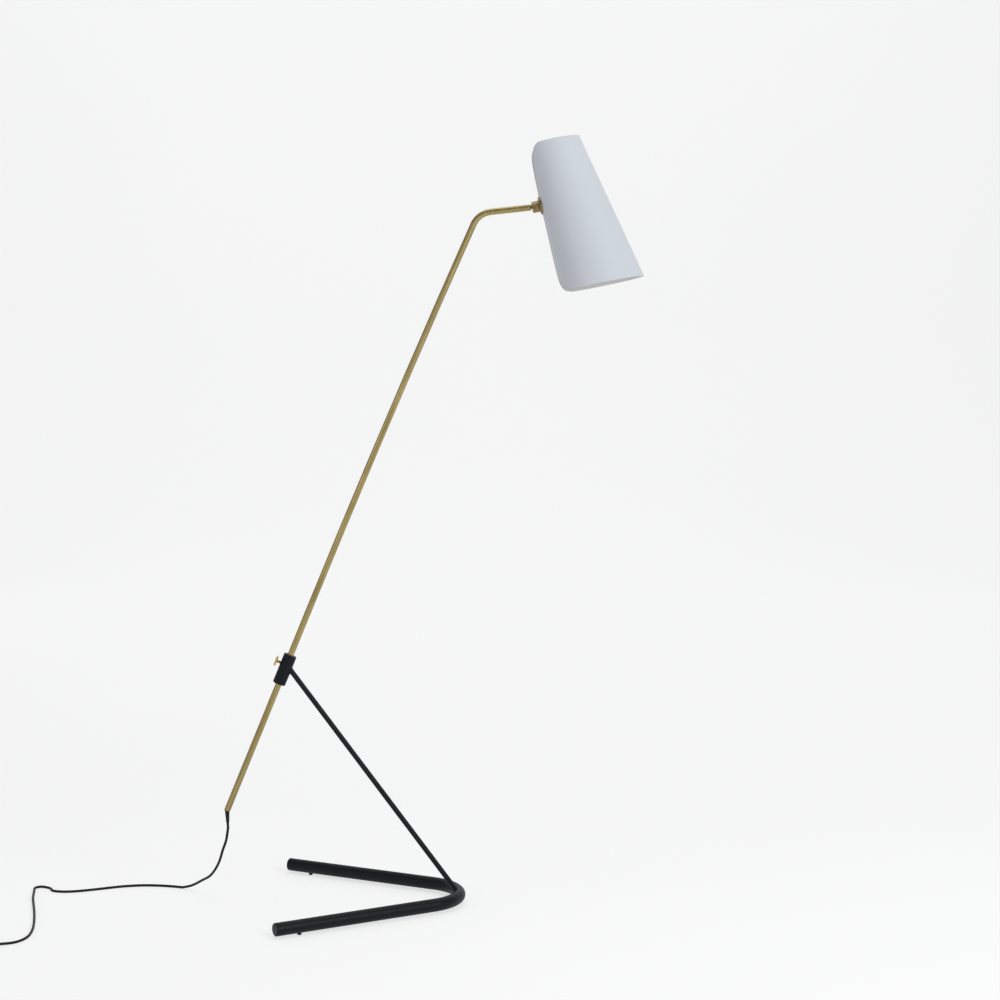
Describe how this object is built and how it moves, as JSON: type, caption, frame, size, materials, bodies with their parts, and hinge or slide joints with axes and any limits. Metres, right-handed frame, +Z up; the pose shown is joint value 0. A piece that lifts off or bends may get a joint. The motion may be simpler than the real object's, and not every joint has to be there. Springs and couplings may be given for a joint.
{
  "type": "floor lamp",
  "caption": "Floor lamp with a V-shaped black base bar, a raked strut and clamp sleeve, a leaning brass stem that slides and turns, and a rolled conical shade on a ball joint.",
  "frame": {"origin": "on the floor, at the centre of the underside of the front foot, below the bend of the V", "axes": "+Z up; +X from the ends of the V towards the shade; +Y to the left of +X"},
  "size_m": [1.3049, 0.6362, 1.4738],
  "materials": {
    "black_paint": "satin black powder coat",
    "foot_plastic": "moulded black",
    "nylon": "natural nylon",
    "dark_steel": "blackened",
    "polished_brass": "polished",
    "aged_brass": "darkened with age",
    "satin_brass": "fine brushed, aged",
    "black_plastic": "fine texture",
    "black_rubber": "moulded",
    "cable_sheath": "smooth sheath",
    "shade_enamel": "satin pale blue-grey enamel",
    "plated_steel": "zinc plated",
    "ceramic_white": "glazed",
    "contact_brass": "plain",
    "bulb_metal": "plain",
    "opal_glass": "opal",
    "cord_black": "smooth black sheath",
    "gloss_button": "smooth",
    "spring_steel": "plain"
  },
  "bodies": {
    "base": {"base_bar": "black_paint", "base_feet": "foot_plastic", "strut": "black_paint", "sleeve": "black_paint", "sleeve_liner": "nylon", "cord_drop": "cord_black", "cord_run": "cord_black", "cord_lead": "cord_black", "cord_coil": "cord_black", "cord_tail": "cord_black", "coil_tie": "black_plastic", "switch_base": "black_plastic", "switch_cover": "black_plastic", "switch_spring": "spring_steel", "switch_contacts": "contact_brass", "switch_screws": "plated_steel", "plug_body": "black_rubber", "plug_pins": "contact_brass"},
    "cord_end": {"cord_bush": "black_plastic", "strain_relief": "black_rubber"},
    "stem": {"stem_tube": "satin_brass", "stem_cable": "cable_sheath", "ball_stud": "aged_brass"},
    "ball": {"ball": "polished_brass"},
    "seat": {"ball_seat": "nylon"},
    "shade": {"joint_nut": "aged_brass", "joint_body": "aged_brass", "flange": "aged_brass", "backing_washer": "polished_brass", "lock_nut": "polished_brass", "shade": "shade_enamel", "holder_bracket": "plated_steel", "holder_nipple": "plated_steel", "nipple_nut": "plated_steel", "holder_cap": "black_plastic", "holder_insulator": "ceramic_white", "holder_contact": "contact_brass", "holder_thread": "contact_brass", "holder_shell": "black_plastic", "bulb_cap": "bulb_metal", "bulb_glass": "opal_glass", "shade_cable": "cable_sheath"},
    "thumb_screw": {"thumb_screw_shank": "dark_steel", "thumb_screw_head": "polished_brass"},
    "switch_button": {"switch_button": "gloss_button"}
  },
  "joints": [
    {"name": "stem_slide", "type": "slide", "parent": "base", "child": "cord_end", "axis": [0.3811, 0, 0.9245], "range_m": [-0.1, 0.2], "deforming": ["cord_drop"]},
    {"name": "stem_turn", "type": "hinge", "parent": "cord_end", "child": "stem", "pos_m": [-0.3335, 0, 0.4595], "axis": [0.3811, 0, 0.9245], "range_deg": [-180, 180]},
    {"name": "shade_roll", "type": "hinge", "parent": "stem", "child": "ball", "pos_m": [0.14647, 0, 1.33976], "axis": [0.994, 0, 0.1097], "range_deg": [-90, 90]},
    {"name": "shade_pan", "type": "hinge", "parent": "ball", "child": "seat", "pos_m": [0.14647, 0, 1.33976], "axis": [-0.2264, 0.0736, 0.9713], "range_deg": [-12, 12]},
    {"name": "shade_tilt", "type": "hinge", "parent": "seat", "child": "shade", "pos_m": [0.14647, 0, 1.33976], "axis": [0.0081, 0.9973, -0.0737], "range_deg": [-10, 23]},
    {"name": "screw_turn", "type": "hinge", "parent": "base", "child": "thumb_screw", "pos_m": [-0.32988, 0, 0.46828], "axis": [-0.9245, 0, 0.3811], "range_deg": [0, 540]},
    {"name": "switch_press", "type": "slide", "parent": "base", "child": "switch_button", "axis": [0, 0, 1], "range_m": [-0.003, 0], "stiffness_N_per_m": 600, "springref_m": 0.0008, "deforming": ["switch_spring"]}
  ]
}
